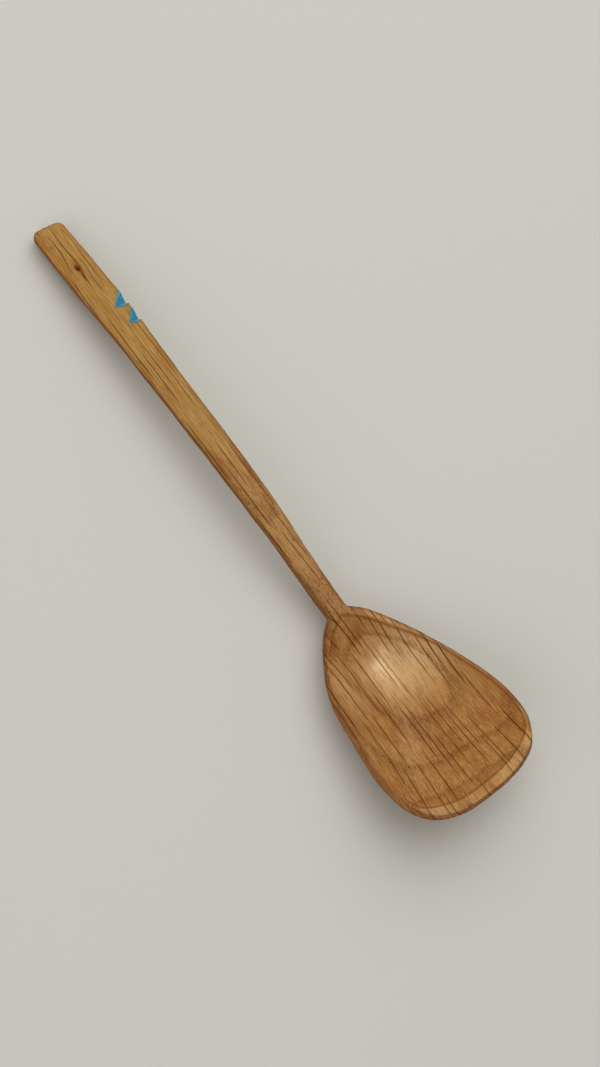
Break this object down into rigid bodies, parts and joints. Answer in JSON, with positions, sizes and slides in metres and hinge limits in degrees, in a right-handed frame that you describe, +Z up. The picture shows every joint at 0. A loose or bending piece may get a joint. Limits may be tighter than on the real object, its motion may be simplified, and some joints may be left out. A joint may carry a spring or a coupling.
{
  "type": "wooden tablespoon",
  "caption": "Hand-carved oak tablespoon with a slim faceted handle, an egg-shaped bowl with a squared tip, and small blue painted chip cuts on one edge of the handle.",
  "frame": {"origin": "on the table, under the middle of the spoon's length and width, as it rests with the hollow up", "axes": "+X from the handle's end to the tip of the bowl, +Y to the left of someone who looks along +X, +Z up out of the hollow"},
  "size_m": [0.2088, 0.047, 0.0237],
  "materials": {
    "oak": "oiled satin, grain along the spoon",
    "blue_paint": "thin brushed milk paint, matt",
    "knot_wood": "oiled satin, dark end grain"
  },
  "bodies": {
    "root": {"carved_spoon": "oak", "upper_notch_paint": "blue_paint", "lower_notch_paint": "blue_paint", "pin_knot": "knot_wood"}
  },
  "joints": []
}
